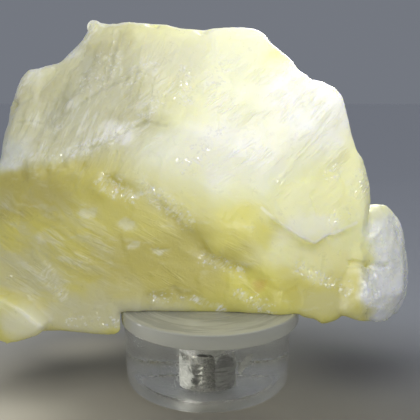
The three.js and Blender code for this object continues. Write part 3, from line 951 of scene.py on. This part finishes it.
# tint, and how much light goes straight through
discFinish = {
    "tint": (0.99, 0.99, 0.90), "clear": 0.60,
    "smear": (0.50, 0.51, 0.48), "smeared": 0.55, "smearRough": 0.12,  # faint arcs left by turning and wiping
    "smearSize": 1.5, "smearEdge": (15.8, 16.4),  # mm
}
baseFinish = {
    "tint": (0.93, 0.93, 0.875), "clear": 0.96,
    "frosted": 0.45, "frost": 0.6, "frostSize": 0.35,  # the pocket's wall
    "ground": 0.35,  # the underside
    # the colour of the painted shade in the groove
    "paintedGrooveShade": (0.30, 0.30, 0.30),
}


def handlingGroup():
    # fine straight scratches and a little dust
    tree, given, result = groupTree(
        "handling", "ShaderNodeTree",
        [("Vector", "Vector", None), ("Spacing", "Float", 2.0), ("Dust Size", "Float", 0.5)],
        [("Scratches", "Float"), ("Dust", "Float")])
    lines = []
    for turn in (0.4, 1.5, 2.5):
        inputs = {"Vector": given["Vector"], "Angle": turn, "Axis": (0.3, 0.2, 1)}
        spun = fed("ShaderNodeVectorRotate", inputs).outputs[0]
        streak = noise(vector("MULTIPLY", spun, (0.06, 1.0, 1.0)), given["Spacing"], 4.0, 0.7)
        lines.append(ramp(calc("ABSOLUTE", minus(streak, 0.5)), 0.0, 0.012, (1.0, 0.0)))
    speck = cells(given["Vector"], given["Dust Size"])
    plug(result, {
        "Scratches": larger(*lines),
        "Dust": ramp(speck["Distance"], 0.06, 0.16, (1.0, 0.0)),
    })
    return tree


def latheGroup():
    # the faint waves that turning leaves
    tree, given, result = groupTree(
        "lathe", "ShaderNodeTree",
        [("Vector", "Vector", None), ("Size", "Float", 1.4)], [("Height", "Float")])
    flat = vector("MULTIPLY", given["Vector"], (0.15, 0.15, 1.6))
    plug(result, {"Height": noise(flat, given["Size"], 3.0)})
    return tree


handling = handlingGroup()
lathe = latheGroup()


def handled(point, finish):
    inputs = {"Vector": point, "Spacing": finish["spacing"], "Dust Size": finish["dust"]}
    return fed("ShaderNodeGroup", inputs, node_tree=handling).outputs


def discDetail(point, part, reach):
    finish = discFinish
    arcs = joined(reach, times(part[0], 0.1), times(part[1], 0.1))
    swirl = ramp(noise(arcs, finish["smearSize"], 4.0, 0.6), 0.44, 0.6)
    swirl = times(swirl, ramp(reach, *finish["smearEdge"], (1.0, 0.0)))
    tint = blend(times(swirl, finish["smeared"]), finish["tint"], finish["smear"])
    return tint, times(swirl, finish["smearRough"]), 0.0


def baseDetail(point, part, reach):
    finish = baseFinish
    wall = base["mouth"] + base["mouthEdge"]
    pocket = times(ramp(reach, wall, wall + 0.1, (1.0, 0.0)), ramp(part[2], 6.9, 7.2),
                   ramp(part[2], 12.19, 12.21, (1.0, 0.0)))
    underside = ramp(part[2], 0.0, 0.1, (1.0, 0.0))
    away = calc("ABSOLUTE", minus(reach, base["ring"]))
    paintedGrooveShade = minus(1.0, calc("DIVIDE", away, base["ringWidth"]), clamp=True)
    paintedGrooveShade = times(paintedGrooveShade, ramp(part[2], 0.3, 0.5, (1.0, 0.0)))
    # the groove is painted dark: painted shade in the recess
    tint = blend(ramp(paintedGrooveShade, 0.0, 0.3), finish["tint"], finish["paintedGrooveShade"])
    rough = plus(times(pocket, finish["frosted"]), times(underside, finish["ground"]))
    frost = times(noise(point, finish["frostSize"], 3.0), pocket, finish["frost"])
    return tint, rough, frost


def acrylicMaterial(name, finish, detail):
    material, tree, shader = newMaterial(name)
    point = placeInMm(tree)
    part = parts(point)
    reach = vector("LENGTH", joined(part[0], part[1]))
    tint, rough, height = detail(point, part, reach)
    wear = handled(point, acrylic)
    waves = fed("ShaderNodeGroup", {"Vector": point}, node_tree=lathe).outputs["Height"]
    marks = times(larger(wear["Scratches"], wear["Dust"]), acrylic["marks"])
    height = plus(times(waves, acrylic["lathe"]), height)
    height = minus(height, times(wear["Scratches"], acrylic["scratch"]))
    plug(shader, {
        "Base Color": tint,
        "Roughness": plus(rough, acrylic["rough"], marks),
        "Normal": bumped(height, acrylic["bump"]),
        "Transmission Weight": finish["clear"],
        "IOR": acrylic["ior"],
    })
    return material


# white sheets on the wall of the pocket, painted reflections where its cone shows bright glare, and a dark
# sheet on its right, painted shade: rows of height in mm and the angles each spans in degrees
wallGlareAndShade = [
    [(7.3, 184, 190), (6.6, 185, 198), (5.6, 186, 212), (4.6, 187, 226), (3.6, 188, 238),
     (2.6, 190, 234), (1.6, 192, 240), (0.8, 196, 228)],
    [(8.7, 268, 303), (8.1, 266, 308), (7.5, 268, 310), (7.25, 246, 304), (6.95, 250, 276)],
    [(6.9, 286, 351), (5.0, 287, 352), (3.0, 287, 352), (0.8, 288, 351)],
]
# and beside it, one flat white sheet, a painted reflection: how far from the axis, then rows of height and the
# span across
sideGlare = [
    (-1.0, [(6.5, 5.3, 6.1), (5.9, 4.9, 6.0), (5.3, 4.5, 5.7), (4.7, 4.2, 5.4),
            (4.1, 3.9, 4.9), (3.5, 3.8, 4.5), (2.9, 4.1, 4.3)]),
]
# colour and shade for the white painted reflections, dark for the painted shadow in the gap, dull and bright
# for the dark ribbed sheet at the right, painted shade
paintedGlareAndShade = {
    "colour": (0.72, 0.73, 0.70), "shade": (0.50, 0.51, 0.48), "dark": (0.03, 0.03, 0.03),
    "dull": (0.20, 0.20, 0.195), "paintedBright": (0.40, 0.40, 0.385),
    "paintedGapShadow": ((-0.6, -3.6, 7.1), (1.5, 1.2, 0.34), 0.2),
    "paintedDarkSide": ((2.2, -2.2, 3.4), (1.65, 2.6, 4.2), 0.1),
    "thick": 0.05, "gap": 0.05, "steps": 28, "fill": 6, "sharp": 40,
    "ragged": 0.10, "edgeWaves": ((17, 1.0), (41, 0.7)), "least": 0.2,  # edge waves: how often, how large
}


def wallRadius(height):
    # of the pocket at a height in mm
    share = max(0.0, min(1.0, (height - base["coneFoot"]) / (base["height"] - base["coneFoot"])))
    return base["pocket"] + (base["mouth"] - base["pocket"]) * share


def raggedRows(rows):
    # more rows between the given ones, with ragged ends
    made = []
    for (high, a, b), (low, c, d) in zip(rows, rows[1:]):
        for i in range(paintedGlareAndShade["fill"]):
            share = i / paintedGlareAndShade["fill"]
            made.append((high + (low - high) * share, a + (c - a) * share, b + (d - b) * share))
    made.append(rows[-1])
    ragged = []
    for height, a, b in made:
        wave = sum(size * math.sin(height * often) for often, size in paintedGlareAndShade["edgeWaves"])
        push = paintedGlareAndShade["ragged"] * (b - a) * wave
        ragged.append((height, a, max(b + push, a + paintedGlareAndShade["least"] * (b - a))))
    return ragged


def glareAndShadeMesh():
    work = bmesh.new()

    def sheet(rows, place):
        # a thin sheet: place gives the corner for a spot across, a height and a side
        count, steps = len(rows) - 1, paintedGlareAndShade["steps"]
        sides = [[[work.verts.new(metres(place(a + (b - a) * i / steps, h, lift)))
                   for i in range(steps + 1)] for h, a, b in rows]
                 for lift in (paintedGlareAndShade["gap"], paintedGlareAndShade["gap"] + paintedGlareAndShade["thick"])]
        inner, outer = sides
        for r in range(count):
            for side in sides:
                for i in range(steps):
                    work.faces.new((side[r][i], side[r][i + 1], side[r + 1][i + 1], side[r + 1][i]))
            for i in (0, steps):
                work.faces.new((inner[r][i], inner[r + 1][i], outer[r + 1][i], outer[r][i]))
        for i in range(steps):
            for r in (0, count):
                work.faces.new((inner[r][i], inner[r][i + 1], outer[r][i + 1], outer[r][i]))

    def onWall(angle, height, lift):
        turn = math.radians(angle)
        radius = wallRadius(height) + lift
        return radius * math.cos(turn), radius * math.sin(turn), height

    for rows in wallGlareAndShade:
        sheet(raggedRows(rows), onWall)
    for depth, rows in sideGlare:
        sheet(raggedRows(rows), lambda across, height, lift, depth=depth: (across, depth - lift, height))
    return finished(work, "pocket_painted_glare_and_shade", paintedGlareAndShade["sharp"])


def glareAndShadeMaterial():
    material, tree, shader = newMaterial("paintedPocketGlareAndShade")
    point = placeInMm(tree)
    cloudy = noise(point, 0.7, 4.0, 0.6)
    colour = blend(ramp(cloudy, 0.35, 0.65), paintedGlareAndShade["colour"], paintedGlareAndShade["shade"])
    # a painted shadow in the gap at the front
    colour = blend(patch(point, *paintedGlareAndShade["paintedGapShadow"]), colour, paintedGlareAndShade["dark"])
    # the sheet at the right is painted dark with lighter ribs: painted shade with painted reflected ribs
    ribs = noise(vector("MULTIPLY", point, (0.5, 0.5, 2.6)), 1.0, 3.0)
    dull = blend(ramp(ribs, 0.4, 0.62), paintedGlareAndShade["dull"], paintedGlareAndShade["paintedBright"])
    plug(shader, {
        "Base Color": blend(patch(point, *paintedGlareAndShade["paintedDarkSide"]), colour, dull),
        "Roughness": ramp(cloudy, 0.3, 0.7, (0.35, 0.7)),
        "Normal": bumped(cloudy, 0.2),
    })
    return material


insert = {
    "radius": 3.1, "low": 0.63, "high": 6.8, "bore": 1.7, "boreEdge": 0.25, "boreFoot": 2.5, "drillTip": 0.4,
    "turns": 7, "depth": 0.32, "chamfer": 0.35, "fullness": 1.35, "root": 0.15,
    "steps": 72, "rows": 10, "sharp": 35,
}
steel = {
    "colour": (0.50, 0.50, 0.49), "stain": (0.55, 0.54, 0.52), "stained": 0.5,
    "rough": 0.26, "scratch": 0.2, "bump": 0.08,
    "spacing": 1.2, "dust": 0.5,  # mm
}


def insertMesh():
    # the thread is one long ridge round a sleeve: the radius follows the height and the turn
    s = insert
    work = bmesh.new()
    span = s["high"] - s["low"]
    count = s["turns"] * s["rows"]

    def ring(radiusAt, height):
        made = []
        for i in range(s["steps"]):
            a = 2 * math.pi * i / s["steps"]
            r = radiusAt(a)
            made.append(work.verts.new(metres((r * math.cos(a), r * math.sin(a), height))))
        return made

    rings = [[work.verts.new((0, 0, s["low"] * mm))]]
    for row in range(count + 1):
        height = s["low"] + span * row / count
        ends = min(1.0, (height - s["low"]) / s["chamfer"], (s["high"] - height) / s["chamfer"])

        def thread(a, height=height, ends=ends):
            phase = ((height - s["low"]) / span * s["turns"] - a / (2 * math.pi)) % 1.0
            crest = min(1.0, max(0.0, s["fullness"] * (1 - abs(2 * phase - 1)) - s["root"]))
            return s["radius"] - s["depth"] * (1 - crest) - (1 - ends) * s["chamfer"]

        rings.append(ring(thread, height))
    rings.append(ring(lambda a: s["bore"] + s["boreEdge"], s["high"]))
    rings.append(ring(lambda a: s["bore"], s["high"] - s["boreEdge"]))
    rings.append(ring(lambda a: s["bore"], s["boreFoot"]))
    rings.append([work.verts.new((0, 0, (s["boreFoot"] - s["drillTip"]) * mm))])
    joinRings(work, rings, s["steps"])
    return finished(work, "threaded_sleeve", s["sharp"])


def steelMaterial():
    material, tree, shader = newMaterial("steel")
    point = placeInMm(tree)
    wear = handled(point, steel)
    stain = times(ramp(noise(point, 1.6, 4.0, 0.6), 0.4, 0.7), steel["stained"])
    brushed = noise(vector("MULTIPLY", point, (1, 1, 6)), 1.0, 3.0)
    plug(shader, {
        "Base Color": blend(stain, steel["colour"], steel["stain"]),
        "Roughness": plus(times(wear["Scratches"], steel["scratch"]), steel["rough"]),
        "Normal": bumped(brushed, steel["bump"]),
        "Metallic": 1.0,
    })
    return material


addCamera()
addAir()
addFloor()
for lampName, lamp in lamps.items():
    addLamp(lampName, **lamp)
print("studio ready")

calciteLook = calciteMaterial("calcite", bodyFinish)
stonePiece = newPiece("calcite_stone", stoneMesh(calciteLook), "calcite", "calcite", calciteLook,
                      "object", "stone")
clearLobe(stonePiece.data, calciteMaterial("calciteLobe", lobeFinish))
print("stone ready:", len(stonePiece.data.polygons), "faces")

discLook = acrylicMaterial("clearDisc", discFinish, discDetail)
baseLook = acrylicMaterial("clearBase", baseFinish, baseDetail)
for clearPiece in (
    newPiece("stand_disc_clear", discMesh(), "stand_disc", "clear_acrylic", discLook, "object", "stand"),
    newPiece("stand_base_clear", baseMesh(), "stand_base", "clear_acrylic", baseLook, "object", "stand"),
):
    clearPiece.visible_shadow = False  # lamps shine through it
newPiece("threaded_sleeve", insertMesh(), "threaded_insert", "steel", steelMaterial(), "stand")
# sheets of painted reflection and painted shade in the pocket
newPiece("pocket_painted_glare_and_shade", glareAndShadeMesh(), None, "clear_acrylic", glareAndShadeMaterial(), "object", "stand")
print("stand ready")
